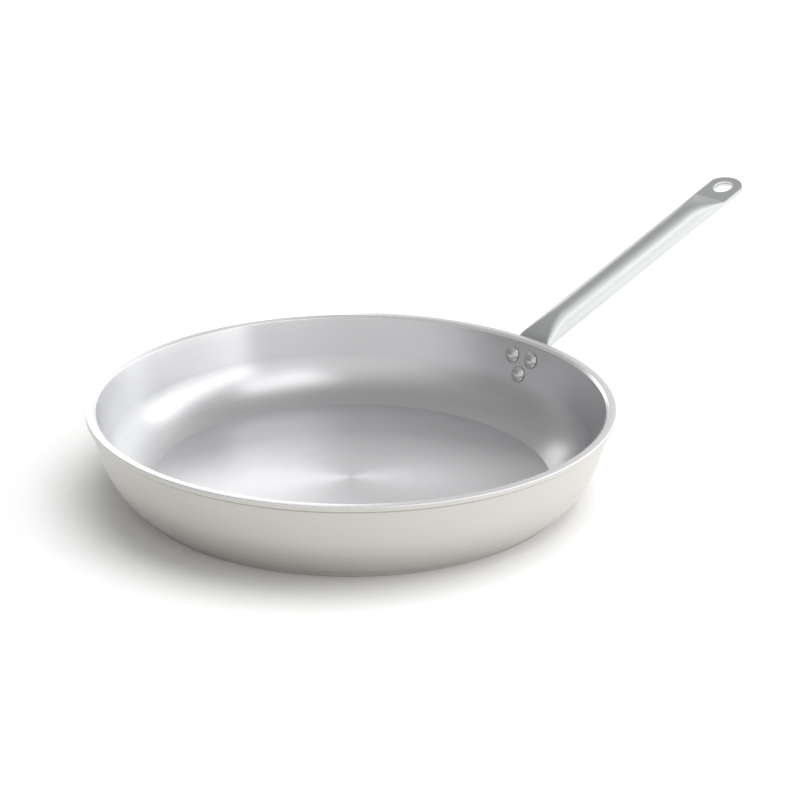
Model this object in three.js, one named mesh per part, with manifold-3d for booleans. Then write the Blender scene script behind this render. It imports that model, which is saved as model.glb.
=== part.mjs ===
// Professional aluminium frying pan: a spun and turned body, a stainless tube handle that is pressed flat
// at both ends, and three rivets that clench the handle's flange to the wall.
// Millimetres, +Z up. The origin is the centre of the base's underside, and the handle points along +X.
import * as THREE from "three";
import { mergeVertices } from "three/addons/utils/BufferGeometryUtils.js";
import Module from "manifold-3d";

const wasm = await Module();
wasm.setup();

// Driving dimensions of the body
const RIM_RADIUS = 160;
const PAN_HEIGHT = 55;
const WALL_THICKNESS = 5;
const FLOOR_THICKNESS = 4.5;
const WALL_LEAN = THREE.MathUtils.degToRad(16.3); // from the vertical
const CORNER_RADIUS = 52; // outside, between wall and base
const BASE_ANGLE = THREE.MathUtils.degToRad(36); // slope at which the corner meets the base band
const BASE_BAND = 1.8; // height of the turned edge that the pan stands on
const BASE_CHAMFER = 0.5;
const INNER_CORNER_RADIUS = 39.7;
const FLOOR_ANGLE = THREE.MathUtils.degToRad(20); // slope at which the inner corner meets the floor
const LIP_HEIGHT = 3; // turned band round the outside of the rim
const LIP_OVERHANG = 1.5;
const LIP_UNDERCUT = 0.9; // slope under the lip
const RIM_FLAT = 4.6;
const RIM_BEVEL = 1.5; // depth of the bevel inside the rim
const RIM_EDGE = 0.5; // broken outer edge

// Driving dimensions of the handle
const TUBE_DIAMETER = 18.8;
const TUBE_WALL = 1.6;
const SLIT = 0.3; // left between the two pressed walls
const HANDLE_ANGLE = THREE.MathUtils.degToRad(18.9); // above the horizontal
const AXIS_DROP = 2.9; // the tube's axis passes this far below the rim's top edge
const HANDLE_LENGTH = 201.6; // from the bend's corner to the hang hole
const TAB_LENGTH = 15; // flat from its crease to the hang hole
const TAB_NOSE = 12; // from the hang hole to the tip
const HANG_HOLE_DIAMETER = 14;
const PRESS_RAMP = 30; // length over which round becomes flat
const PRESS_INTO_BEND = 0.5; // share of the bend that is still opening out
const LIP_CLEARANCE = 0.45; // between the bend and the lip
const FLANGE_TOE = 7; // radius round the lowest rivet
const TRIM = 0.2; // the trimming dies are this much wider than the pressed tube

// Driving dimensions of the rivets
const RIVET_SHANK = 5;
const RIVET_HEAD_DIAMETER = 10.5;
const RIVET_HEAD_HEIGHT = 2.8;
const RIVET_HEAD_EDGE = 0.5; // upright edge round the foot of the dome
const TAIL_DIAMETER = 8.4;
const TAIL_HEIGHT = 1.9;
const RIVET_EDGE = 5.3; // from an upper rivet to the side of the flange
const RIVET_BELOW_BEND = 2.9;
const RIVET_ROW = 11.2; // from the upper pair down to the lowest rivet
const CLEARANCE = 0.3; // between pieces that seat on or pass through each other

// Facets
const BODY_SEGMENTS = 80;
const CORNER_STEPS = 8;
const RING_STEPS = 10; // round each side of the tube
const FLAT_STEPS = 3; // across each flat of the pressed tube
const RIVET_SEGMENTS = 20;
const DOME_STEPS = 5;
const HOLE_SEGMENTS = 32;
const DIE_REACH = 2 * (RIM_RADIUS + HANDLE_LENGTH); // past the far end of the handle

const aluminium = new THREE.MeshStandardMaterial({ color: 0xc9c8c6, roughness: 0.34, metalness: 1 });
const stainless = new THREE.MeshStandardMaterial({ color: 0xb9bcbd, roughness: 0.3, metalness: 1 });
const rivetAlloy = new THREE.MeshStandardMaterial({ color: 0xa9a8a5, roughness: 0.32, metalness: 1 });

/** A closed geometry as a solid that can be cut and joined. */
function solidOf(geometry) {
  const bare = geometry.clone();
  bare.deleteAttribute("normal");
  bare.deleteAttribute("uv");
  const merged = mergeVertices(bare, 1e-4);
  return new wasm.Manifold(
    new wasm.Mesh({
      numProp: 3,
      vertProperties: merged.attributes.position.array,
      triVerts: new Uint32Array(merged.index.array),
    }),
  );
}

/** A solid as a geometry, with the normals of its vertices worked out. */
function geometryOf(solid) {
  const mesh = solid.getMesh();
  const geometry = new THREE.BufferGeometry();
  geometry.setAttribute("position", new THREE.BufferAttribute(mesh.vertProperties, 3));
  geometry.setIndex(new THREE.BufferAttribute(mesh.triVerts, 1));
  geometry.computeVertexNormals();
  return geometry;
}

/** A profile in radius and height, turned about +Z. */
function turned(profile, segments) {
  return new THREE.LatheGeometry(profile, segments).rotateX(Math.PI / 2);
}

/** A round cutter along +Z, centred on its own origin. */
function drill(diameter, length, segments = HOLE_SEGMENTS) {
  return new THREE.CylinderGeometry(diameter / 2, diameter / 2, length, segments).rotateX(Math.PI / 2);
}

const point = (radius, height) => new THREE.Vector2(radius, height);

/** The direction at an angle above the horizontal, in the plane of radius and height. */
const heading = (angle) => point(Math.cos(angle), Math.sin(angle));

/** Points of an arc about a centre; the angle is that of the radius, from the horizontal. */
function arcPoints(centre, radius, from, to, steps) {
  return new THREE.EllipseCurve(centre.x, centre.y, radius, radius, from, to, to < from).getPoints(steps);
}

// The wall's outer face is a straight flare under the lip that runs into the corner arc.
const wallTop = point(RIM_RADIUS - LIP_OVERHANG, PAN_HEIGHT - LIP_HEIGHT);
const wallUp = heading(Math.PI / 2 - WALL_LEAN);
const wallOut = heading(-WALL_LEAN);

/** Radius of a face of the wall at a height, its depth being taken inward from the outer face. */
function wallRadius(height, depth = 0) {
  return wallTop.x + (height - wallTop.y) * Math.tan(WALL_LEAN) - depth / Math.cos(WALL_LEAN);
}

/** The arc that joins a flared face to a level one, met at a slope. */
function cornerArc(radius, level, slope, depth) {
  const low = slope - Math.PI / 2;
  const centreHeight = level - radius * Math.sin(low);
  const tangentHeight = centreHeight - radius * Math.sin(WALL_LEAN);
  const centre = point(
    wallRadius(tangentHeight, depth) - radius * Math.cos(WALL_LEAN),
    centreHeight,
  );
  return { centre, radius, low, tangentHeight };
}

const outerCorner = cornerArc(CORNER_RADIUS, BASE_BAND, BASE_ANGLE, 0);
const innerCorner = cornerArc(INNER_CORNER_RADIUS, FLOOR_THICKNESS, FLOOR_ANGLE, WALL_THICKNESS);

/** The body's half section, from the centre of the base round the rim to the centre of the floor. */
function bodyProfile() {
  const outside = arcPoints(outerCorner.centre, CORNER_RADIUS, outerCorner.low, -WALL_LEAN, CORNER_STEPS);
  const { centre, radius, low } = innerCorner;
  const inside = arcPoints(centre, radius, -WALL_LEAN, low, CORNER_STEPS);
  const baseEdge = outside[0].x;
  const underLip = wallTop.y - LIP_UNDERCUT;
  const bevelFoot = PAN_HEIGHT - RIM_BEVEL;
  return [
    point(0, 0),
    point(baseEdge - BASE_CHAMFER, 0),
    point(baseEdge, BASE_CHAMFER),
    ...outside,
    point(wallRadius(underLip), underLip),
    point(RIM_RADIUS, wallTop.y),
    point(RIM_RADIUS, PAN_HEIGHT - RIM_EDGE),
    point(RIM_RADIUS - RIM_EDGE, PAN_HEIGHT),
    point(RIM_RADIUS - RIM_FLAT, PAN_HEIGHT),
    point(wallRadius(bevelFoot, WALL_THICKNESS), bevelFoot),
    ...inside,
    point(0, FLOOR_THICKNESS),
  ];
}

// The pressed tube keeps its mid-wall girth, so its section is an obround that widens as it is flattened.
const girth = Math.PI * (TUBE_DIAMETER - TUBE_WALL);
const roundHalf = TUBE_DIAMETER / 2;
const flatHalf = TUBE_WALL + SLIT / 2;

/** Length of the two straight sides of the section, for a given half height. */
const flatRun = (halfHeight) => girth / 2 - Math.PI * (halfHeight - TUBE_WALL / 2);

const flatWidth = flatRun(flatHalf) + 2 * flatHalf;

// The handle's centreline: up the wall as a flange, round a bend that clears the lip, then straight out.
const seatOffset = CLEARANCE + flatHalf;
const seatTop = wallTop.clone().addScaledVector(wallOut, seatOffset);
const axisOut = heading(HANDLE_ANGLE);
const bendAngle = Math.PI / 2 - WALL_LEAN - HANDLE_ANGLE;

/** Where the flange's centreline and the tube's axis would cross. */
function bendCorner() {
  const slope = Math.tan(HANDLE_ANGLE);
  const lean = Math.tan(WALL_LEAN);
  const axisAtSeat = PAN_HEIGHT - AXIS_DROP + slope * (seatTop.x - RIM_RADIUS);
  const rise = (axisAtSeat - seatTop.y) / (1 - slope * lean);
  return point(seatTop.x + rise * lean, seatTop.y + rise);
}

/** The centreline radius at which the bend's inner face passes the lip's lower edge with its clearance. */
function bendRadiusPastLip(corner) {
  const half = (Math.PI - bendAngle) / 2;
  const bisector = axisOut.clone().sub(wallUp).normalize();
  const lipEdge = point(RIM_RADIUS, wallTop.y).sub(corner);
  const standOff = flatHalf + LIP_CLEARANCE;
  const a = 1 / Math.tan(half) ** 2;
  const b = lipEdge.dot(bisector) / Math.sin(half) + standOff;
  const c = lipEdge.lengthSq() - standOff ** 2;
  return (b + Math.sqrt(b * b - a * c)) / a;
}

const corner = bendCorner();
const bendRadius = bendRadiusPastLip(corner);
const bendTangent = bendRadius * Math.tan(bendAngle / 2);
const bendFoot = corner.clone().addScaledVector(wallUp, -bendTangent);
const bendHead = corner.clone().addScaledVector(axisOut, bendTangent);
const bendCentre = bendFoot.clone().addScaledVector(wallOut, bendRadius);

const rivetSide = flatWidth / 2 - RIVET_EDGE;
const rivetRowDepth = [RIVET_BELOW_BEND, RIVET_BELOW_BEND + RIVET_ROW]; // down the flange from the bend
const flangeRun = rivetRowDepth[1] + FLANGE_TOE + TRIM;
const bendRun = bendRadius * bendAngle;
const holeStation = flangeRun + bendRun + HANDLE_LENGTH - bendTangent;
const tabHalfWidth = flatWidth / 2 + TRIM;
const handleEnd = holeStation + TAB_NOSE + TRIM;
const innerCrease = flangeRun + bendRun * (1 - PRESS_INTO_BEND);
const outerCrease = holeStation - TAB_LENGTH;

/** Centre, upward normal and share of wall curvature at a distance along the centreline. */
function station(along) {
  if (along <= flangeRun) {
    const centre = bendFoot.clone().addScaledVector(wallUp, along - flangeRun);
    return { centre, normal: wallOut.clone().negate(), wrap: 1 };
  }
  if (along < flangeRun + bendRun) {
    const share = (along - flangeRun) / bendRun;
    const normal = heading(Math.PI - WALL_LEAN - share * bendAngle);
    return { centre: bendCentre.clone().addScaledVector(normal, bendRadius), normal, wrap: 1 - share };
  }
  const centre = bendHead.clone().addScaledVector(axisOut, along - flangeRun - bendRun);
  return { centre, normal: heading(HANDLE_ANGLE + Math.PI / 2), wrap: 0 };
}

/** Half height of the tube: flat beyond each crease, and round once the press ramp has run out. */
function halfHeight(along) {
  const ramp = Math.min(along - innerCrease, outerCrease - along) / PRESS_RAMP;
  const open = Math.sin((Math.PI / 2) * THREE.MathUtils.clamp(ramp, 0, 1));
  return flatHalf + (roundHalf - flatHalf) * open;
}

/** The obround section as points of side and height, counter-clockwise, inset from the tube's outside. */
function tubeSection(half, inset) {
  const run = flatRun(half) / 2;
  const radius = half - inset;
  const section = arcPoints(point(run, 0), radius, -Math.PI / 2, Math.PI / 2, RING_STEPS);
  for (let i = 1; i < FLAT_STEPS; i++) {
    section.push(point(run * (1 - (2 * i) / FLAT_STEPS), radius));
  }
  return [...section, ...section.map(({ x, y }) => point(-x, -y))];
}

/** A section set across the centreline, following the wall's curve as far as it is wrapped. */
function ring(along, inset) {
  const { centre, normal, wrap } = station(along);
  return tubeSection(halfHeight(along), inset).map(({ x: side, y: rise }) => {
    const radius = centre.x + normal.x * rise;
    const sag = radius - Math.sqrt(radius * radius - side * side);
    return new THREE.Vector3(radius - wrap * sag, side, centre.y + normal.y * rise);
  });
}

/** Distances along the centreline at which the tube gets a ring: close in the bend and the press ramps. */
function ringStations() {
  const stretches = [
    [0, flangeRun, 3],
    [flangeRun, innerCrease, 5],
    [innerCrease, innerCrease + PRESS_RAMP, 12],
    [innerCrease + PRESS_RAMP, outerCrease - PRESS_RAMP, 2],
    [outerCrease - PRESS_RAMP, outerCrease, 10],
    [outerCrease, handleEnd, 2],
  ];
  const stations = stretches.flatMap(([from, to, steps]) =>
    Array.from({ length: steps }, (_, i) => from + ((to - from) * i) / steps),
  );
  return [...stations, handleEnd];
}

/** The hollow tube: an outer skin, an inner skin and an open rim at each end. */
function tubeGeometry() {
  const stations = ringStations();
  const skins = [0, TUBE_WALL].map((inset) => stations.map((along) => ring(along, inset)));
  const count = skins[0][0].length;
  const loops = [...skins[0], ...skins[1].reverse()]; // out along the outside, back along the bore
  const index = [];
  loops.forEach((_, row) => {
    const next = (row + 1) % loops.length;
    for (let i = 0; i < count; i++) {
      const j = (i + 1) % count;
      const [a, b, c, d] = [row * count + i, row * count + j, next * count + j, next * count + i];
      index.push(a, b, c, a, c, d);
    }
  });
  const geometry = new THREE.BufferGeometry().setFromPoints(loops.flat());
  geometry.setIndex(index);
  return geometry;
}

/** A flat die: an outline extruded both ways, stood in the handle's plane at an angle and a place. */
function die(outline, place, angle) {
  const options = { depth: 2 * DIE_REACH, bevelEnabled: false, curveSegments: HOLE_SEGMENTS / 4 };
  return new THREE.ExtrudeGeometry(outline, options)
    .translate(0, 0, -DIE_REACH)
    .applyMatrix4(inHandlePlane(place, angle));
}

/** Local X along a heading in the handle's plane, local Y to the side and local Z along the normal. */
function inHandlePlane(place, angle) {
  const along = new THREE.Vector3(Math.cos(angle), 0, Math.sin(angle));
  const side = new THREE.Vector3(0, 1, 0);
  const normal = new THREE.Vector3().crossVectors(along, side);
  return new THREE.Matrix4().makeBasis(along, side, normal).setPosition(place.x, 0, place.y);
}

/** The hanging tab's outline about its hole: parallel sides and a bluntly rounded nose. */
function tabOutline() {
  const quarter = Math.PI / 2;
  const outline = new THREE.Shape();
  outline.absellipse(0, 0, TAB_NOSE, tabHalfWidth, -quarter, quarter, false, 0);
  outline.lineTo(-DIE_REACH, tabHalfWidth);
  outline.lineTo(-DIE_REACH, -tabHalfWidth);
  return outline;
}

/** The flange's outline about the bend's foot: parallel sides drawn in round the three rivets. */
function flangeOutline() {
  const [upper, lowest] = rivetRowDepth.map((depth) => -depth);
  const shoulder = RIVET_EDGE + TRIM;
  const reach = Math.hypot(upper - lowest, rivetSide);
  const tilt = Math.atan2(rivetSide, upper - lowest) + Math.asin((shoulder - FLANGE_TOE) / reach);
  const turn = Math.PI / 2 + tilt;
  const outline = new THREE.Shape();
  outline.absarc(upper, rivetSide, shoulder, Math.PI / 2, turn, false);
  outline.absarc(lowest, 0, FLANGE_TOE, turn, 2 * Math.PI - turn, false);
  outline.absarc(upper, -rivetSide, shoulder, -turn, -Math.PI / 2, false);
  outline.lineTo(DIE_REACH, -rivetSide - shoulder);
  outline.lineTo(DIE_REACH, rivetSide + shoulder);
  return outline;
}

// Rivet seats: two side by side under the bend, one below them on the handle's own line.
const rivetSeats = [
  { name: "rivet_upper_left", side: -rivetSide, depth: rivetRowDepth[0] },
  { name: "rivet_upper_right", side: rivetSide, depth: rivetRowDepth[0] },
  { name: "rivet_lower", side: 0, depth: rivetRowDepth[1] },
];

/** A rivet's place: on the flange's centreline, its +Z square out of the wall, turned round the pan. */
function rivetFrame({ side, depth }) {
  const centre = bendFoot.clone().addScaledVector(wallUp, -depth);
  const frame = new THREE.Group();
  frame.rotation.z = Math.asin(side / centre.x);
  const seat = new THREE.Group();
  seat.position.set(centre.x, 0, centre.y);
  seat.rotation.y = Math.PI / 2 + WALL_LEAN;
  frame.add(seat);
  frame.updateMatrixWorld(true);
  return { frame, seat };
}

/** How far the inner corner stands in from the straight wall under the lower edge of a rivet's head. */
function cornerProud(depth) {
  const headFoot = bendFoot.y - (depth + RIVET_HEAD_DIAMETER / 2) * wallUp.y;
  const inwardRise = (seatOffset + WALL_THICKNESS) * Math.sin(WALL_LEAN);
  const past = Math.max(0, (innerCorner.tangentHeight - headFoot - inwardRise) / wallUp.y);
  return INNER_CORNER_RADIUS - Math.sqrt(INNER_CORNER_RADIUS ** 2 - past * past);
}

/** A rivet along +Z: a domed head inside the pan, a shank, and the clenched tail on the flange. */
function rivetProfile(depth) {
  const headFace = -(seatOffset + WALL_THICKNESS + cornerProud(depth) + CLEARANCE);
  const tailFace = flatHalf + CLEARANCE;
  const headRadius = RIVET_HEAD_DIAMETER / 2;
  const tailRadius = TAIL_DIAMETER / 2;
  const dome = (face, radius, height, steps, way) => {
    const rise = height - RIVET_HEAD_EDGE;
    const sphere = (radius * radius + rise * rise) / (2 * rise);
    const spread = Math.asin(radius / sphere);
    return Array.from({ length: steps + 1 }, (_, i) => {
      const angle = (spread * i) / steps;
      const top = face + way * (height - sphere * (1 - Math.cos(angle)));
      return point(sphere * Math.sin(angle), top);
    });
  };
  return [
    ...dome(headFace, headRadius, RIVET_HEAD_HEIGHT, DOME_STEPS, -1),
    point(headRadius, headFace),
    point(RIVET_SHANK / 2, headFace),
    point(RIVET_SHANK / 2, tailFace),
    point(tailRadius, tailFace),
    ...dome(tailFace, tailRadius, TAIL_HEIGHT, DOME_STEPS - 2, 1).reverse(),
  ];
}

/** Cutters for the rivet holes, through wall and flange alike. */
function rivetDrills() {
  const diameter = RIVET_SHANK + 2 * CLEARANCE;
  const length = 4 * (WALL_THICKNESS + seatOffset);
  return rivetSeats.map((place) => {
    const cutter = drill(diameter, length, RIVET_SEGMENTS);
    return solidOf(cutter.applyMatrix4(rivetFrame(place).seat.matrixWorld));
  });
}

function panBody() {
  const body = rivetDrills().reduce(
    (solid, hole) => solid.subtract(hole),
    solidOf(turned(bodyProfile(), BODY_SEGMENTS)),
  );
  return named("pan_body", geometryOf(body), aluminium);
}

function handle() {
  const hole = station(holeStation).centre;
  const hangDrill = drill(HANG_HOLE_DIAMETER, TUBE_DIAMETER).applyMatrix4(inHandlePlane(hole, HANDLE_ANGLE));
  const trimmed = solidOf(tubeGeometry())
    .intersect(solidOf(die(tabOutline(), hole, HANDLE_ANGLE)))
    .intersect(solidOf(die(flangeOutline(), bendFoot, Math.PI / 2 - WALL_LEAN)))
    .subtract(solidOf(hangDrill));
  const drilled = rivetDrills().reduce((solid, cut) => solid.subtract(cut), trimmed);
  return named("handle", geometryOf(drilled), stainless);
}

function rivet(seatData) {
  const { frame, seat } = rivetFrame(seatData);
  seat.add(named(seatData.name, turned(rivetProfile(seatData.depth), RIVET_SEGMENTS), rivetAlloy));
  return frame;
}

function named(name, geometry, material) {
  const mesh = new THREE.Mesh(geometry, material);
  mesh.name = name;
  return mesh;
}

const fryingPan = new THREE.Group();
fryingPan.add(panBody(), handle(), ...rivetSeats.map(rivet));

export default fryingPan;
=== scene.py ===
import math

import bmesh
import bpy
from mathutils import Matrix, Vector


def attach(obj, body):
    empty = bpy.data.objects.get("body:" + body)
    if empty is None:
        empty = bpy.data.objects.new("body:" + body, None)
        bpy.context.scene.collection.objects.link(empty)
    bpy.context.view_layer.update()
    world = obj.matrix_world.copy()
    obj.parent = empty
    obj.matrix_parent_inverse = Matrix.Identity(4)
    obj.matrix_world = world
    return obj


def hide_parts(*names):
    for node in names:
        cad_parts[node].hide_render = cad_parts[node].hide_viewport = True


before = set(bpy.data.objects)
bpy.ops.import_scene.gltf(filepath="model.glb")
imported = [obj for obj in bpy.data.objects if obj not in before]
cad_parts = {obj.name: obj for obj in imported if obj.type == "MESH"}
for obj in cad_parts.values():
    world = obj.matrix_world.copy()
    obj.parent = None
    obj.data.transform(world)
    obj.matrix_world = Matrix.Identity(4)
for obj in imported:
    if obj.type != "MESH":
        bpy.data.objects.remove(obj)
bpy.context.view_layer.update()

# The pan body is one spun disc of thick aluminium: a flat base, a round corner and a flared wall.
# It is turned on a lathe inside and out, which leaves fine rings, and the lip is faced bright.
# Its half section goes from the centre of the base round the rim to the centre of the floor.
RIM_RADIUS = 0.160
PAN_HEIGHT = 0.055
WALL_THICKNESS = 0.005
FLOOR_THICKNESS = 0.0045
WALL_LEAN = math.radians(16.3)
CORNER_RADIUS = 0.052
BASE_ANGLE = math.radians(36)
BASE_BAND = 0.0018
BASE_EASING = 0.0011
INNER_CORNER_RADIUS = 0.0397
FLOOR_ANGLE = math.radians(20)
CREASE_EASING = 0.0003
LIP_HEIGHT = 0.003
LIP_OVERHANG = 0.0015
LIP_UNDERCUT = 0.0009
RIM_FLAT = 0.0046
RIM_BEVEL = 0.0015
LIP_EASINGS = (0.0003, 0.0003, 0.0006, 0.0005, 0.0008)
BODY_SEGMENTS = 384
CORNER_STEPS = 40
FLAT_STEPS = 8
STRAIGHT_STEPS = 4
EASING_STEPS = 5
BODY_SHARP = math.radians(30)
CORNER_FOOT = (0.1220, 0.1236)
CORNER_HEAD = (0.132, 0.146)
# Share of painted shade in the base colour of the band round the inner corner.
CORNER_PAINTED_SHADE = 0.16
FLOOR_DULLING = 0.06
UNDERCUT_FOOT = (0.0502, 0.0508)
UNDERCUT_HEAD = (0.0518, 0.0523)
# Share of painted shade in the base colour of the undercut below the lip.
UNDERCUT_PAINTED_SHADE = 0.30
UNDERCUT_DULLING = 0.05
RING_SCALE = 900.0
FEED_SCALE = 140.0
TURNED_CLOUD_SCALE = 16.0
RING_RELIEF = 0.0002
ROUND_THE_AXIS = 0.25


class Signal:
    """A socket of a node tree: arithmetic on it adds Math nodes, and node() adds any other node."""

    def __init__(self, tree, socket=None):
        self.tree = tree
        self.socket = socket

    def node(self, kind, sockets=None, output=0, **settings):
        made = self.tree.nodes.new(kind)
        for setting, value in settings.items():
            setattr(made, setting, value)
        for key, value in (sockets or {}).items():
            if isinstance(value, Signal):
                self.tree.links.new(value.socket, made.inputs[key])
            else:
                made.inputs[key].default_value = value
        return Signal(self.tree, made.outputs[output] if made.outputs else None)

    def maths(self, operation, first, second=0.0):
        return self.node("ShaderNodeMath", {0: first, 1: second}, operation=operation)

    def __add__(self, other):
        return self.maths("ADD", self, other)

    def __radd__(self, other):
        return self.maths("ADD", other, self)

    def __sub__(self, other):
        return self.maths("SUBTRACT", self, other)

    def __rsub__(self, other):
        return self.maths("SUBTRACT", other, self)

    def __mul__(self, other):
        return self.maths("MULTIPLY", self, other)

    def __rmul__(self, other):
        return self.maths("MULTIPLY", other, self)

    def __truediv__(self, other):
        return self.maths("DIVIDE", self, other)

    def __rtruediv__(self, other):
        return self.maths("DIVIDE", other, self)

    def __mod__(self, other):
        return self.maths("FLOORED_MODULO", self, other)

    def __rmod__(self, other):
        return self.maths("FLOORED_MODULO", other, self)


def new_finish(name):
    """An empty material and its tree."""
    material = bpy.data.materials.new(name)
    material.use_nodes = True
    material.node_tree.nodes.clear()
    return material, Signal(material.node_tree)


def blend_colour(tree, share, low, high):
    """A colour between two, by a share from 0 to 1."""
    return tree.node("ShaderNodeMix", {0: share, 6: low, 7: high}, output=2, data_type="RGBA")


def mottled(tree, share, colour, darkest, lightest):
    """A colour that wanders between a darker and a lighter version of itself."""
    dark, light = [tuple(min(1.0, part * side) for part in colour) + (1.0,) for side in (darkest, lightest)]
    return blend_colour(tree, share, dark, light)


def ramp(tree, value, low, high):
    """A smooth step of a value from 0 to 1."""
    return tree.node(
        "ShaderNodeMapRange",
        {"Value": value, "From Min": low, "From Max": high},
        interpolation_type="SMOOTHSTEP",
    )


def band(tree, value, foot, head):
    """A mask that is 1 between a foot and a head, each given by its two ends."""
    return ramp(tree, value, *foot) * (1 - ramp(tree, value, *head))


def relief(tree, height, strength, distance):
    """A normal bent by a height."""
    return tree.node("ShaderNodeBump", {"Strength": strength, "Distance": distance, "Height": height})


def end_in_metal(tree, sockets):
    """Ends a material in one shader with the given sockets."""
    metal = tree.node("ShaderNodeBsdfPrincipled", sockets)
    tree.node("ShaderNodeOutputMaterial", {"Surface": metal})


def inside_painted_shade_and_dulling(tree, radius, _height):
    """Painted shade and dulling inside: a band round the corner is darkened as painted shade, and the floor
    is the dullest.
    """
    painted_corner_shade = band(tree, radius, CORNER_FOOT, CORNER_HEAD)
    floor_disc = 1 - ramp(tree, radius, *CORNER_FOOT)
    return painted_corner_shade * CORNER_PAINTED_SHADE, floor_disc * FLOOR_DULLING


def undercut_painted_shade_and_dulling(tree, _radius, height):
    """Painted shade and dulling outside: the undercut that runs round below the lip is darkened as painted
    shade, and dulled a little.
    """
    undercut = band(tree, height, UNDERCUT_FOOT, UNDERCUT_HEAD)
    return undercut * UNDERCUT_PAINTED_SHADE, undercut * UNDERCUT_DULLING


def turned_aluminium(name, colour, metallic, roughness, grain, ring_depth, cloud_share, painted_shade_and_dulling=None):
    """Lathe-turned aluminium: fine rings about the pan's axis, a slower feed mark and faint cloudiness, with
    painted shade where a mask is given.
    """
    material, tree = new_finish(name)
    place = tree.node("ShaderNodeTexCoord", output="Object")
    x, y, height = [tree.node("ShaderNodeSeparateXYZ", {"Vector": place}, output=axis) for axis in "XYZ"]
    radius = tree.maths("SQRT", x * x + y * y)
    across = tree.node("ShaderNodeCombineXYZ", {"X": radius, "Y": height})
    rings = tree.node(
        "ShaderNodeTexNoise",
        {"Vector": across, "Scale": RING_SCALE, "Detail": 2.0, "Roughness": 0.7},
        noise_dimensions="2D",
    )
    feed = tree.node(
        "ShaderNodeTexNoise",
        {"Vector": across, "Scale": FEED_SCALE, "Detail": 1.0},
        noise_dimensions="2D",
    )
    cloud = tree.node("ShaderNodeTexNoise", {"Vector": place, "Scale": TURNED_CLOUD_SCALE, "Detail": 3.0})
    skin = mottled(tree, rings * 0.5 + feed * 0.3 + cloud * 0.2, colour, 0.94, 1.06)
    spread = roughness + (rings - 0.5) * 0.08 + (cloud - 0.5) * cloud_share
    # Painted shade: the base colour is blended toward black by the mask, and the roughness is raised a
    # little.
    if painted_shade_and_dulling:
        painted_shade, dulling = painted_shade_and_dulling(tree, radius, height)
        skin = blend_colour(tree, painted_shade, skin, (0.0, 0.0, 0.0, 1.0))
        spread = spread + dulling
    end_in_metal(
        tree,
        {
            "Base Color": skin,
            "Metallic": metallic,
            "Roughness": spread,
            "Anisotropic": grain,
            "Anisotropic Rotation": ROUND_THE_AXIS,
            "Normal": relief(tree, rings * 0.7 + feed, ring_depth, RING_RELIEF),
        },
    )
    return material


def heading(angle):
    """The direction at an angle above the horizontal, in the plane of radius and height."""
    return Vector((math.cos(angle), math.sin(angle)))


def arc(centre, radius, start, end, steps):
    """Points of an arc about a centre, by the angle of its radius."""
    angles = [start + (end - start) * step / steps for step in range(steps + 1)]
    return [centre + radius * heading(angle) for angle in angles]


WALL_TOP = Vector((RIM_RADIUS - LIP_OVERHANG, PAN_HEIGHT - LIP_HEIGHT))
WALL_UP = heading(math.pi / 2 - WALL_LEAN)
WALL_OUT = heading(-WALL_LEAN)


def wall_radius(height, depth=0.0):
    """Radius of a face of the wall at a height, its depth being taken inward from the outer face."""
    return WALL_TOP.x + (height - WALL_TOP.y) * math.tan(WALL_LEAN) - depth / math.cos(WALL_LEAN)


def corner_arc(radius, level, slope, depth):
    """The arc that joins a level face, met at a slope, to a flared one; from its foot upward."""
    low = slope - math.pi / 2
    centre_height = level - radius * math.sin(low)
    tangent_height = centre_height - radius * math.sin(WALL_LEAN)
    centre = Vector((wall_radius(tangent_height, depth) - radius * math.cos(WALL_LEAN), centre_height))
    return arc(centre, radius, low, -WALL_LEAN, CORNER_STEPS)


def eased(before, corner, after, radius):
    """A corner of a section rounded off to a radius."""
    back = (before - corner).normalized()
    on = (after - corner).normalized()
    half = back.angle(on) / 2
    start = corner + back * (radius / math.tan(half))
    end = corner + on * (radius / math.tan(half))
    centre = corner + (back + on).normalized() * (radius / math.sin(half))
    points = []
    for step in range(EASING_STEPS + 1):
        spoke = (start - centre).lerp(end - centre, step / EASING_STEPS)
        points.append(centre + spoke.normalized() * radius)
    return points


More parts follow.
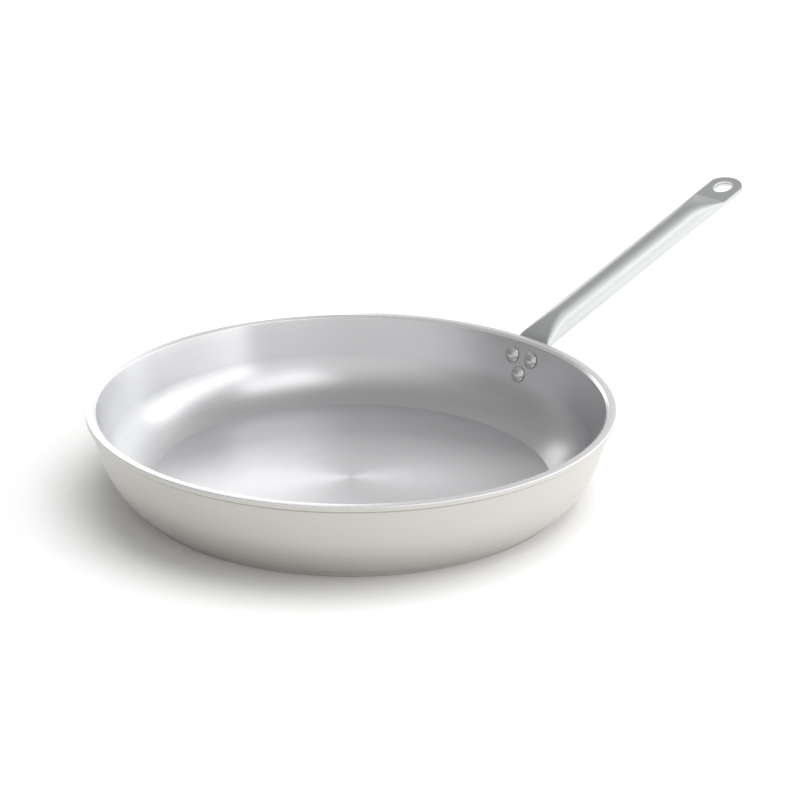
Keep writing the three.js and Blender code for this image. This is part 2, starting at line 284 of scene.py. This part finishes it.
def body_section():
    """The half section's points, and the places in them where the faced top of the lip begins and ends."""
    outside = corner_arc(CORNER_RADIUS, BASE_BAND, BASE_ANGLE, 0.0)
    inside = corner_arc(INNER_CORNER_RADIUS, FLOOR_THICKNESS, FLOOR_ANGLE, WALL_THICKNESS)[::-1]
    base_edge = outside[0].x
    under_lip = WALL_TOP.y - LIP_UNDERCUT
    bevel_foot = PAN_HEIGHT - RIM_BEVEL
    foot = Vector((base_edge, 0.0))
    lip = [
        Vector((wall_radius(under_lip), under_lip)),
        Vector((RIM_RADIUS, WALL_TOP.y)),
        Vector((RIM_RADIUS, PAN_HEIGHT)),
        Vector((RIM_RADIUS - RIM_FLAT, PAN_HEIGHT)),
        Vector((wall_radius(bevel_foot, WALL_THICKNESS), bevel_foot)),
    ]
    base = [Vector((base_edge * step / FLAT_STEPS, 0.0)) for step in range(FLAT_STEPS)]
    floor = [Vector((inside[-1].x * step / FLAT_STEPS, FLOOR_THICKNESS)) for step in range(FLAT_STEPS)][::-1]
    outer = [*base, *eased(base[-1], foot, outside[0], BASE_EASING)]
    outer += [*eased(foot, outside[0], outside[1], CREASE_EASING), *outside[1:]]
    outer += [outside[-1].lerp(lip[0], step / STRAIGHT_STEPS) for step in range(1, STRAIGHT_STEPS)]
    path = [outside[-1], *lip, inside[0]]
    rim = []
    for place, radius in enumerate(LIP_EASINGS):
        rim += eased(path[place], path[place + 1], path[place + 2], radius)
    inner = [lip[-1].lerp(inside[0], step / STRAIGHT_STEPS) for step in range(1, STRAIGHT_STEPS)]
    inner += [*inside[:-1], *eased(inside[-2], inside[-1], floor[0], CREASE_EASING), *floor]
    top_start = len(outer) + 2 * (EASING_STEPS + 1)
    return [*outer, *rim, *inner], top_start, len(outer) + len(rim) - 1


def section_mesh(name, points):
    """A section's points as the vertices of a mesh, in radius and height."""
    mesh = bpy.data.meshes.new(name)
    mesh.from_pydata([(p.x, 0.0, p.y) for p in points], [], [])
    return mesh


def new_tree(name, inputs, output):
    """A geometry tree with named inputs, and those inputs as signals."""
    tree = bpy.data.node_groups.new(name, "GeometryNodeTree")
    for label, kind in inputs.items():
        tree.interface.new_socket(label, in_out="INPUT", socket_type=kind)
    tree.interface.new_socket(output, in_out="OUTPUT", socket_type="NodeSocketGeometry")
    given = tree.nodes.new("NodeGroupInput")
    return tree, {socket.name: Signal(tree, socket) for socket in given.outputs if socket.name}


def turning_tree():
    """Turns a section about +Z, and gives the lip, the outside and the inside their own finishes."""
    inputs = {
        "Section": "NodeSocketGeometry",
        "Segments": "NodeSocketInt",
        "Lip Start": "NodeSocketInt",
        "Lip End": "NodeSocketInt",
        "Outside": "NodeSocketMaterial",
        "Lip": "NodeSocketMaterial",
        "Inside": "NodeSocketMaterial",
    }
    tree, given = new_tree("turning", inputs, "Turned")
    work = Signal(tree)
    section, segments = given["Section"], given["Segments"]
    count = work.node(
        "GeometryNodeAttributeDomainSize", {"Geometry": section}, output="Point Count", component="MESH"
    )
    index = work.node("GeometryNodeInputIndex")
    grid = work.node(
        "GeometryNodeMeshGrid", {"Vertices X": segments + 1, "Vertices Y": count}, output="Mesh"
    )
    strip = work.node(
        "GeometryNodeStoreNamedAttribute",
        {"Geometry": grid, "Name": "strip", "Value": index % (count - 1)},
        data_type="FLOAT",
        domain="FACE",
    )
    turn = work.maths("FLOOR", index / count) * (2 * math.pi) / segments
    sampled = work.node(
        "GeometryNodeSampleIndex",
        {"Geometry": section, "Value": work.node("GeometryNodeInputPosition"), "Index": index % count},
        data_type="FLOAT_VECTOR",
    )
    swung = work.node(
        "ShaderNodeVectorRotate", {"Vector": sampled, "Angle": turn}, rotation_type="Z_AXIS"
    )
    shaped = work.node("GeometryNodeSetPosition", {"Geometry": strip, "Position": swung})
    closed = work.node("GeometryNodeMergeByDistance", {"Geometry": shaped, "Distance": 1e-6})
    real = work.node("GeometryNodeRealizeInstances", {"Geometry": closed})
    place = work.node("GeometryNodeInputNamedAttribute", {"Name": "strip"}, data_type="FLOAT")
    past_start = work.maths("GREATER_THAN", place, given["Lip Start"] - 0.5)
    past_end = work.maths("GREATER_THAN", place, given["Lip End"] - 0.5)
    done = work.node("GeometryNodeSetMaterial", {"Geometry": real, "Material": given["Outside"]})
    for share, finish in ((past_start, "Lip"), (past_end, "Inside")):
        done = work.node(
            "GeometryNodeSetMaterial", {"Geometry": done, "Selection": share, "Material": given[finish]}
        )
    work.node("NodeGroupOutput", {"Turned": done})
    return tree


def placed(name, data):
    """A new object in the scene, of a mesh, a lamp or a camera."""
    made = bpy.data.objects.new(name, data)
    bpy.context.scene.collection.objects.link(made)
    return made


def take_shape(piece, modifier):
    """Gives a piece the plain mesh that its modifier makes, and takes the modifier away."""
    graph = bpy.context.evaluated_depsgraph_get()
    mesh = bpy.data.meshes.new_from_object(piece.evaluated_get(graph), depsgraph=graph)
    piece.modifiers.remove(modifier)
    piece.data = mesh


def grown(name, start, tree, values, sharp):
    """The plain object that a geometry tree makes of a starting mesh."""
    piece = placed(name, start)
    modifier = piece.modifiers.new("shape", "NODES")
    modifier.node_group = tree
    for item in tree.interface.items_tree:
        if item.name in values:
            modifier[item.identifier] = values[item.name]
    take_shape(piece, modifier)
    strip = piece.data.attributes.get("strip")
    if strip:
        piece.data.attributes.remove(strip)
    piece.data.shade_smooth()
    piece.data.set_sharp_from_angle(angle=sharp)
    return piece


outside_finish = turned_aluminium(
    "turned_outside",
    # The outside is warmer and darker than the inside: the warm tint is painted light, standing for warm
    # light bounced off the paper; the darker tone is partly a coarser turned skin and partly painted shade.
    colour=(0.645, 0.628, 0.597),
    metallic=1.0,
    roughness=0.42,
    grain=0.75,
    ring_depth=0.10,
    cloud_share=0.10,
    painted_shade_and_dulling=undercut_painted_shade_and_dulling,
)
lip_finish = turned_aluminium(
    "faced_lip",
    colour=(0.80, 0.80, 0.81),
    metallic=0.75,
    roughness=0.25,
    grain=0.3,
    ring_depth=0.06,
    cloud_share=0.06,
)
inside_finish = turned_aluminium(
    "turned_inside",
    # The inside's faint cool tint is painted light, standing for cool light from above.
    colour=(0.785, 0.788, 0.80),
    metallic=1.0,
    roughness=0.30,
    grain=0.65,
    ring_depth=0.10,
    cloud_share=0.08,
    painted_shade_and_dulling=inside_painted_shade_and_dulling,
)
turning = turning_tree()
section, lip_start, lip_end = body_section()
pan = grown(
    "pan_shell",
    section_mesh("pan_section", section),
    turning,
    {
        "Segments": BODY_SEGMENTS,
        "Lip Start": lip_start,
        "Lip End": lip_end,
        "Outside": outside_finish,
        "Lip": lip_finish,
        "Inside": inside_finish,
    },
    BODY_SHARP,
)
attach(pan, "root")
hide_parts("pan_body")

# The handle is one stainless tube, pressed flat at both ends and bent at the wall into a flange.
# The flange follows the wall's curve; the far end is trimmed to a blunt nose and has a hang hole.
# The tube keeps its girth, so it widens as it flattens, and it is brushed along its length.
TUBE_DIAMETER = 0.0188
TUBE_WALL = 0.0016
SLIT = 0.0003
HANDLE_ANGLE = math.radians(18.9)
AXIS_DROP = 0.0029
HANDLE_LENGTH = 0.2016
TAB_LENGTH = 0.015
TAB_NOSE = 0.012
HANG_HOLE_DIAMETER = 0.014
PRESS_RAMP = 0.030
PRESS_INTO_BEND = 0.5
LIP_CLEARANCE = 0.00045
FLANGE_TOE = 0.007
TRIM = 0.0002
SEAT_CLEARANCE = 0.0003
RIVET_EDGE = 0.0053
RIVET_BELOW_BEND = 0.0029
RIVET_ROW = 0.0112
DIE_REACH = 0.5
RING_STEPS = 28
RING_FLAT_STEPS = 10
ROUND_STEPS = 64
TOE_STEPS = 40
SHOULDER_STEPS = 20
HANDLE_SHARP = math.radians(15)
BRUSHED_CLOUD_SCALE = 40.0
SCRATCH_RELIEF = 0.0001

girth = math.pi * (TUBE_DIAMETER - TUBE_WALL)
round_half = TUBE_DIAMETER / 2
flat_half = TUBE_WALL + SLIT / 2


def flat_run(half):
    """Length of each straight side of the pressed section, for a half height."""
    return girth / 2 - math.pi * (half - TUBE_WALL / 2)


flat_width = flat_run(flat_half) + 2 * flat_half
tab_half_width = flat_width / 2 + TRIM
seat_offset = SEAT_CLEARANCE + flat_half
axis_out = heading(HANDLE_ANGLE)
bend_angle = math.pi / 2 - WALL_LEAN - HANDLE_ANGLE


def bend_corner():
    """Where the flange's centreline and the tube's axis would cross."""
    seat_top = WALL_TOP + WALL_OUT * seat_offset
    slope = math.tan(HANDLE_ANGLE)
    lean = math.tan(WALL_LEAN)
    axis_at_seat = PAN_HEIGHT - AXIS_DROP + slope * (seat_top.x - RIM_RADIUS)
    rise = (axis_at_seat - seat_top.y) / (1 - slope * lean)
    return seat_top + Vector((rise * lean, rise))


def bend_radius_past_lip(corner):
    """The centreline radius at which the bend clears the lip's lower edge."""
    half = (math.pi - bend_angle) / 2
    bisector = (axis_out - WALL_UP).normalized()
    lip_edge = Vector((RIM_RADIUS, WALL_TOP.y)) - corner
    stand_off = flat_half + LIP_CLEARANCE
    a = 1 / math.tan(half) ** 2
    b = lip_edge.dot(bisector) / math.sin(half) + stand_off
    c = lip_edge.length_squared - stand_off**2
    return (b + math.sqrt(b * b - a * c)) / a


crossing = bend_corner()
bend_radius = bend_radius_past_lip(crossing)
bend_tangent = bend_radius * math.tan(bend_angle / 2)
bend_foot = crossing - WALL_UP * bend_tangent
bend_head = crossing + axis_out * bend_tangent
bend_centre = bend_foot + WALL_OUT * bend_radius
rivet_side = flat_width / 2 - RIVET_EDGE
rivet_depths = (RIVET_BELOW_BEND, RIVET_BELOW_BEND + RIVET_ROW)
flange_run = rivet_depths[1] + FLANGE_TOE + TRIM
bend_run = bend_radius * bend_angle
hole_station = flange_run + bend_run + HANDLE_LENGTH - bend_tangent
handle_end = hole_station + TAB_NOSE + TRIM
inner_crease = flange_run + bend_run * (1 - PRESS_INTO_BEND)
outer_crease = hole_station - TAB_LENGTH


def station(along):
    """Centre, upward normal and share of wall curvature at a distance along the centreline."""
    if along <= flange_run:
        return bend_foot + WALL_UP * (along - flange_run), -WALL_OUT, 1.0
    if along < flange_run + bend_run:
        share = (along - flange_run) / bend_run
        normal = heading(math.pi - WALL_LEAN - share * bend_angle)
        return bend_centre + normal * bend_radius, normal, 1 - share
    centre = bend_head + axis_out * (along - flange_run - bend_run)
    return centre, heading(HANDLE_ANGLE + math.pi / 2), 0.0


def half_height(along):
    """Half height of the tube: flat beyond each crease, round once the press ramp has run out."""
    past_crease = min(along - inner_crease, outer_crease - along) / PRESS_RAMP
    opened = math.sin(math.pi / 2 * min(max(past_crease, 0.0), 1.0))
    return flat_half + (round_half - flat_half) * opened


def tube_ring(along, inset):
    """The pressed section set across the centreline, inset from the tube's outside."""
    half = half_height(along)
    run = flat_run(half) / 2
    outline = arc(Vector((run, 0.0)), half - inset, -math.pi / 2, math.pi / 2, RING_STEPS)
    for step in range(1, RING_FLAT_STEPS):
        outline.append(Vector((run * (1 - 2 * step / RING_FLAT_STEPS), half - inset)))
    centre, normal, wrap = station(along)
    ring = []
    for side, rise in [*outline, *(-p for p in outline)]:
        radius = centre.x + normal.x * rise
        sag = radius - math.sqrt(radius * radius - side * side)
        ring.append((radius - wrap * sag, side, centre.y + normal.y * rise))
    return ring


def tube_object(name):
    """The hollow tube, out along the outside and back along the bore."""
    stretches = [
        (0.0, flange_run, 14),
        (flange_run, inner_crease, 12),
        (inner_crease, inner_crease + PRESS_RAMP, 40),
        (inner_crease + PRESS_RAMP, outer_crease - PRESS_RAMP, 30),
        (outer_crease - PRESS_RAMP, outer_crease, 36),
        (outer_crease, handle_end, 16),
    ]
    stations = [a + (b - a) * step / steps for a, b, steps in stretches for step in range(steps)]
    stations.append(handle_end)
    rings = [tube_ring(along, 0.0) for along in stations]
    rings += [tube_ring(along, TUBE_WALL) for along in reversed(stations)]
    count = len(rings[0])
    faces = []
    for row in range(len(rings)):
        here = row * count
        there = (row + 1) % len(rings) * count
        for place in range(count):
            beside = (place + 1) % count
            faces.append((here + place, here + beside, there + beside, there + place))
    mesh = bpy.data.meshes.new(name)
    mesh.from_pydata([point for ring in rings for point in ring], [], faces)
    return placed(name, mesh)


def in_handle_plane(place, angle):
    """Local X along a heading in the handle's plane, local Y to the side and local Z along the normal."""
    along = Vector((math.cos(angle), 0.0, math.sin(angle)))
    side = Vector((0.0, 1.0, 0.0))
    turn = Matrix((along, side, along.cross(side))).transposed().to_4x4()
    return Matrix.Translation((place.x, 0.0, place.y)) @ turn


def die(outline, place, angle, reach):
    """An outline as a prism that stands both ways out of the handle's plane."""
    shape = bmesh.new()
    low = [shape.verts.new((p.x, p.y, -reach)) for p in outline]
    high = [shape.verts.new((p.x, p.y, reach)) for p in outline]
    shape.faces.new(reversed(low))
    shape.faces.new(high)
    for here in range(len(outline)):
        there = (here + 1) % len(outline)
        shape.faces.new((low[here], low[there], high[there], high[here]))
    shape.transform(in_handle_plane(place, angle))
    mesh = bpy.data.meshes.new("die")
    shape.to_mesh(mesh)
    shape.free()
    return placed("die", mesh)


def press(piece, tool, operation):
    """Trims or pierces a piece with a die, which is then put away."""
    modifier = piece.modifiers.new("press", "BOOLEAN")
    modifier.operation = operation
    modifier.solver = "EXACT"
    modifier.object = tool
    take_shape(piece, modifier)
    bpy.data.objects.remove(tool)


def tab_outline():
    """The hanging tab about its hole: parallel sides and a bluntly rounded nose."""
    half_circle = arc(Vector((0.0, 0.0)), 1.0, -math.pi / 2, math.pi / 2, ROUND_STEPS)
    nose = [Vector((TAB_NOSE * p.x, tab_half_width * p.y)) for p in half_circle]
    return [*nose, Vector((-DIE_REACH, tab_half_width)), Vector((-DIE_REACH, -tab_half_width))]


def flange_outline():
    """The flange about the bend's foot: parallel sides drawn in round the three rivets."""
    upper, lowest = (-depth for depth in rivet_depths)
    shoulder = RIVET_EDGE + TRIM
    reach = math.hypot(upper - lowest, rivet_side)
    tilt = math.atan2(rivet_side, upper - lowest) + math.asin((shoulder - FLANGE_TOE) / reach)
    turn = math.pi / 2 + tilt
    outline = arc(Vector((upper, rivet_side)), shoulder, math.pi / 2, turn, SHOULDER_STEPS)
    outline += arc(Vector((lowest, 0.0)), FLANGE_TOE, turn, 2 * math.pi - turn, TOE_STEPS)
    outline += arc(Vector((upper, -rivet_side)), shoulder, -turn, -math.pi / 2, SHOULDER_STEPS)
    edge = rivet_side + shoulder
    return [*outline, Vector((DIE_REACH, -edge)), Vector((DIE_REACH, edge))]


def brushed_stainless(name, colour, roughness):
    """Brushed stainless: hair-fine scratches along the tube, a faint cloud and a few longer drag marks."""
    material, tree = new_finish(name)
    place = tree.node("ShaderNodeTexCoord", output="Object")
    along = tree.node("ShaderNodeMapping", {"Vector": place, "Rotation": (0.0, HANDLE_ANGLE, 0.0)})

    def scratches(lengthwise, across, detail):
        """Noise drawn out along the tube, by its scales along it and across it."""
        drawn = tree.node("ShaderNodeMapping", {"Vector": along, "Scale": (lengthwise, across, across)})
        return tree.node("ShaderNodeTexNoise", {"Vector": drawn, "Scale": 1.0, "Detail": detail})

    hair = scratches(25.0, 2600.0, 2.0)
    drag = scratches(9.0, 420.0, 1.0)
    cloud = tree.node("ShaderNodeTexNoise", {"Vector": place, "Scale": BRUSHED_CLOUD_SCALE, "Detail": 3.0})
    end_in_metal(
        tree,
        {
            "Base Color": mottled(tree, hair * 0.5 + drag * 0.3 + cloud * 0.2, colour, 0.92, 1.06),
            "Metallic": 1.0,
            "Roughness": roughness + (hair - 0.5) * 0.1 + (cloud - 0.5) * 0.08,
            "Normal": relief(tree, hair + drag * 0.5, 0.08, SCRATCH_RELIEF),
        },
    )
    return material


handle = tube_object("handle_tube")
hang_hole = arc(Vector((0.0, 0.0)), HANG_HOLE_DIAMETER / 2, 0.0, 2 * math.pi, ROUND_STEPS)[:-1]
hole_place = station(hole_station)[0]
press(handle, die(tab_outline(), hole_place, HANDLE_ANGLE, DIE_REACH), "INTERSECT")
press(handle, die(flange_outline(), bend_foot, math.pi / 2 - WALL_LEAN, DIE_REACH), "INTERSECT")
press(handle, die(hang_hole, hole_place, HANDLE_ANGLE, TUBE_DIAMETER), "DIFFERENCE")
handle.data.materials.clear()
handle.data.materials.append(brushed_stainless("brushed_stainless", (0.68, 0.70, 0.692), 0.43))
handle.data.shade_smooth()
handle.data.set_sharp_from_angle(angle=HANDLE_SHARP)
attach(handle, "root")
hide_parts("handle")

# Three aluminium rivets hold the flange to the wall: two side by side and one below them.
# Each has a domed head inside the pan and a smaller dome clenched over outside.
# They are cold formed, so their skin is less even than the turned wall, and the upright edges of their domes
# are darker.
RIVET_SHANK = 0.005
RIVET_HEAD_DIAMETER = 0.0105
RIVET_HEAD_HEIGHT = 0.0028
RIVET_HEAD_EDGE = 0.0005
TAIL_DIAMETER = 0.0084
TAIL_HEIGHT = 0.0019
HEAD_GAP = 0.00012
RIVET_SEGMENTS = 64
HEAD_STEPS = 14
TAIL_STEPS = 12
RIVET_SHARP = math.radians(40)
EDGE_LEAN = 0.5
DENT_SCALE = 420.0
SPECK_SCALE = 1500.0
DENT_RELIEF = 0.0002


def dome(face, radius, height, way, steps):
    """A spherical cap on an upright edge, from its top outward."""
    rise = height - RIVET_HEAD_EDGE
    sphere = (radius * radius + rise * rise) / (2 * rise)
    spread = math.asin(radius / sphere)
    cap = []
    for step in range(steps + 1):
        angle = spread * step / steps
        drop = sphere * (1 - math.cos(angle))
        cap.append(Vector((sphere * math.sin(angle), face + way * (height - drop))))
    return cap


def rivet_section():
    """A rivet along its own axis: the head inside the pan, the shank, and the tail on the flange."""
    head_face = -(seat_offset + WALL_THICKNESS + HEAD_GAP)
    tail_face = flat_half + HEAD_GAP
    head = dome(head_face, RIVET_HEAD_DIAMETER / 2, RIVET_HEAD_HEIGHT, -1, HEAD_STEPS)
    tail = dome(tail_face, TAIL_DIAMETER / 2, TAIL_HEIGHT, 1, TAIL_STEPS)
    return [
        *head,
        Vector((RIVET_HEAD_DIAMETER / 2, head_face)),
        Vector((RIVET_SHANK / 2, head_face)),
        Vector((RIVET_SHANK / 2, tail_face)),
        Vector((TAIL_DIAMETER / 2, tail_face)),
        *reversed(tail),
    ]


def riveting_tree():
    """Sets a rivet on each seat, square to the leaning wall and turned round the pan's axis."""
    inputs = {
        "Seats": "NodeSocketGeometry",
        "Rivet": "NodeSocketObject",
        "Lean": "NodeSocketFloat",
        "Finish": "NodeSocketMaterial",
        "Edge Finish": "NodeSocketMaterial",
    }
    tree, given = new_tree("riveting", inputs, "Rivets")
    work = Signal(tree)
    place = work.node("GeometryNodeInputPosition")
    x, y = [work.node("ShaderNodeSeparateXYZ", {"Vector": place}, output=axis) for axis in "XY"]
    turn = work.node(
        "ShaderNodeCombineXYZ", {"Y": given["Lean"] + math.pi / 2, "Z": work.maths("ARCTAN2", y, x)}
    )
    rivet = work.node("GeometryNodeObjectInfo", {"Object": given["Rivet"]}, output="Geometry")
    set_rivets = work.node(
        "GeometryNodeInstanceOnPoints", {"Points": given["Seats"], "Instance": rivet, "Rotation": turn}
    )
    real = work.node("GeometryNodeRealizeInstances", {"Geometry": set_rivets})
    flat = work.node("ShaderNodeVectorMath", {0: place, 1: (1.0, 1.0, 0.0)}, operation="MULTIPLY")
    outward = work.node("ShaderNodeVectorMath", {0: flat}, operation="NORMALIZE")
    level_axis = work.node(
        "ShaderNodeVectorMath", {0: outward, "Scale": work.maths("COSINE", given["Lean"])}, operation="SCALE"
    )
    drop = work.node("ShaderNodeCombineXYZ", {"Z": -1 * work.maths("SINE", given["Lean"])})
    axis = work.node("ShaderNodeVectorMath", {0: level_axis, 1: drop}, operation="ADD")
    normal = work.node("GeometryNodeInputNormal")
    along = work.node("ShaderNodeVectorMath", {0: normal, 1: axis}, output="Value", operation="DOT_PRODUCT")
    # Faces that stand upright round the domes' edges take the darker edge material.
    upright_edge = work.maths("LESS_THAN", work.maths("ABSOLUTE", along), EDGE_LEAN)
    done = work.node("GeometryNodeSetMaterial", {"Geometry": real, "Material": given["Finish"]})
    done = work.node(
        "GeometryNodeSetMaterial",
        {"Geometry": done, "Selection": upright_edge, "Material": given["Edge Finish"]},
    )
    work.node("NodeGroupOutput", {"Rivets": done})
    return tree


def formed_aluminium(name, colour, roughness):
    """Cold-formed aluminium: a soft unevenness from the snap tool and small darker specks."""
    material, tree = new_finish(name)
    place = tree.node("ShaderNodeTexCoord", output="Object")
    dents = tree.node("ShaderNodeTexNoise", {"Vector": place, "Scale": DENT_SCALE, "Detail": 2.0})
    specks = tree.node("ShaderNodeTexNoise", {"Vector": place, "Scale": SPECK_SCALE, "Detail": 2.0})
    end_in_metal(
        tree,
        {
            "Base Color": mottled(tree, dents * 0.6 + specks * 0.4, colour, 0.90, 1.08),
            "Metallic": 1.0,
            "Roughness": roughness + (dents - 0.5) * 0.1,
            "Normal": relief(tree, dents, 0.02, DENT_RELIEF),
        },
    )
    return material


rivet_finish = formed_aluminium("formed_aluminium", (0.76, 0.755, 0.74), 0.24)
# A darker copy of the rivet metal, for the upright edges of the domes.
dark_rivet_edge = formed_aluminium("rivet_dark_edge", (0.30, 0.29, 0.28), 0.50)
one_rivet = grown(
    "rivet",
    section_mesh("rivet_section", rivet_section()),
    turning,
    {"Segments": RIVET_SEGMENTS, "Lip Start": 0, "Lip End": 0, "Inside": rivet_finish},
    RIVET_SHARP,
)
seats = []
for side, depth in ((-rivet_side, rivet_depths[0]), (rivet_side, rivet_depths[0]), (0.0, rivet_depths[1])):
    seat = bend_foot - WALL_UP * depth
    turn = math.asin(side / seat.x)
    seats.append((seat.x * math.cos(turn), seat.x * math.sin(turn), seat.y))
seat_mesh = bpy.data.meshes.new("rivet_seats")
seat_mesh.from_pydata(seats, [], [])
rivets = grown(
    "rivet_set",
    seat_mesh,
    riveting_tree(),
    {"Rivet": one_rivet, "Lean": WALL_LEAN, "Finish": rivet_finish, "Edge Finish": dark_rivet_edge},
    RIVET_SHARP,
)
bpy.data.objects.remove(one_rivet)
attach(rivets, "root")
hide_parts("rivet_upper_left", "rivet_upper_right", "rivet_lower")

# The floor is a sheet of white studio paper, far wider than the view.
# It keeps the pan's soft shadow and shows as white to the camera and in the metal.
FLOOR_SIZE = 9.0

paper, paper_tree = new_finish("studio_paper")
sheet = paper_tree.node("ShaderNodeBsdfDiffuse", {"Color": (0.85, 0.85, 0.847, 1.0)})
paper_tree.node("ShaderNodeOutputMaterial", {"Surface": sheet})
half = FLOOR_SIZE / 2
floor_corners = [(-half, -half, 0), (half, -half, 0), (half, half, 0), (-half, half, 0)]
floor_mesh = bpy.data.meshes.new("studio_floor")
floor_mesh.from_pydata(floor_corners, [], [(0, 1, 2, 3)])
floor_mesh.materials.append(paper)
studio_floor = placed("studio_floor", floor_mesh)

# The camera looks down on the pan, with the handle going away to the right, through a long lens.
# It is aimed at the rim's centre and then turned a little, so that the handle is in the picture.
VIEW_TURN = math.radians(46.9)
VIEW_DROP = math.radians(21.37)
VIEW_DISTANCE = 1.452
VIEW_ASIDE = 0.02024
LENS = 108.0
SENSOR_WIDTH = 36.0

ahead = Vector((math.cos(VIEW_TURN), math.sin(VIEW_TURN), 0.0))
right = Vector((math.sin(VIEW_TURN), -math.cos(VIEW_TURN), 0.0))
upright = Vector((0.0, 0.0, 1.0))
look = ahead * math.cos(VIEW_DROP) - upright * math.sin(VIEW_DROP)
above = ahead * math.sin(VIEW_DROP) + upright * math.cos(VIEW_DROP)
stand = Vector((0.0, 0.0, PAN_HEIGHT)) - look * VIEW_DISTANCE
aimed = look * math.cos(VIEW_ASIDE) + right * math.sin(VIEW_ASIDE)
beside = right * math.cos(VIEW_ASIDE) - look * math.sin(VIEW_ASIDE)
camera_data = bpy.data.cameras.new("camera")
camera_data.lens = LENS
camera_data.sensor_width = SENSOR_WIDTH
camera = placed("camera", camera_data)
camera.matrix_world = Matrix.Translation(stand) @ Matrix((beside, above, -aimed)).transposed().to_4x4()
bpy.context.scene.camera = camera

# The metal mirrors a plain studio: two soft boxes at the right, one overhead and one behind the pan.
# A low lamp and a broad sun, almost overhead, light the paper and throw the shadow to the front left.
# The room is dim at the left, and brighter behind the camera and at the back right.
SUN_STRENGTH = 1.96
SUN_ANGLE = math.radians(52)
ROOM_LEVEL = 0.27


def turned_from(way):
    """The turn that sets a lamp to shine against a way."""
    return way.to_track_quat("Z", "Y").to_matrix().to_4x4()


def soft_box(name, place, faces, width, height, radiance):
    """An area lamp of a given radiance, set at a place and facing a way."""
    lamp = bpy.data.lights.new(name, "AREA")
    lamp.shape = "RECTANGLE"
    lamp.size = width
    lamp.size_y = height
    lamp.energy = radiance * math.pi * width * height
    box = placed(name, lamp)
    box.matrix_world = Matrix.Translation(place) @ turned_from(-faces)
    return box


soft_box(
    "side_box",
    place=right * 1.2 + upright * 0.35,
    faces=-right,
    width=1.8,
    height=0.4,
    radiance=0.7,
)
soft_box(
    "high_side_box",
    place=right * 1.2 + upright * 0.76,
    faces=-right,
    width=1.8,
    height=0.42,
    radiance=1.25,
)
soft_box(
    "overhead_box",
    place=right * 0.46 - ahead * 0.34 + upright * 0.9,
    faces=-upright,
    width=0.64,
    height=0.54,
    radiance=1.1,
)
soft_box(
    "back_box",
    place=ahead * 1.5 - right * 0.44 + upright * 0.6,
    faces=-ahead,
    width=0.9,
    height=0.6,
    radiance=1.5,
)
floor_box = soft_box(
    "floor_box",
    place=right * 0.85 - ahead * 0.25 + upright * 0.32,
    faces=(ahead * 0.3 - right - upright * 0.3).normalized(),
    width=0.7,
    height=0.45,
    radiance=2.1,
)
floor_box.visible_glossy = False

sun = bpy.data.lights.new("shadow_sun", "SUN")
sun.energy = SUN_STRENGTH
sun.angle = SUN_ANGLE
shadow_sun = placed("shadow_sun", sun)
shadow_sun.matrix_world = turned_from((right * 0.20 + ahead * 0.15 + upright).normalized())
shadow_sun.visible_glossy = False

room = bpy.data.worlds.new("studio_room")
room.use_nodes = True
room.node_tree.nodes.clear()
bpy.context.scene.world = room
room_tree = Signal(room.node_tree)
direction = room_tree.node("ShaderNodeTexCoord", output="Generated")


def glow(way, low, high, strength):
    """Light from one side of the room, which grows as a direction leans that way."""
    lean = room_tree.node(
        "ShaderNodeVectorMath", {0: direction, 1: way}, output="Value", operation="DOT_PRODUCT"
    )
    return ramp(room_tree, lean, low, high) * strength


level = ROOM_LEVEL + glow(right, 0.0, 0.9, 0.24) + glow(-ahead, 0.2, 0.95, 0.46)
level = level + glow(ahead, 0.2, 0.95, 0.16) + glow(upright, 0.35, 0.95, 0.14)
level = level + glow((right + ahead).normalized(), 0.6, 1.0, 0.70)
room_tree.node(
    "ShaderNodeOutputWorld",
    {"Surface": room_tree.node("ShaderNodeBackground", {"Color": (1.0, 1.0, 1.0, 1.0), "Strength": level})},
)
bpy.context.scene.view_settings.view_transform = "Standard"
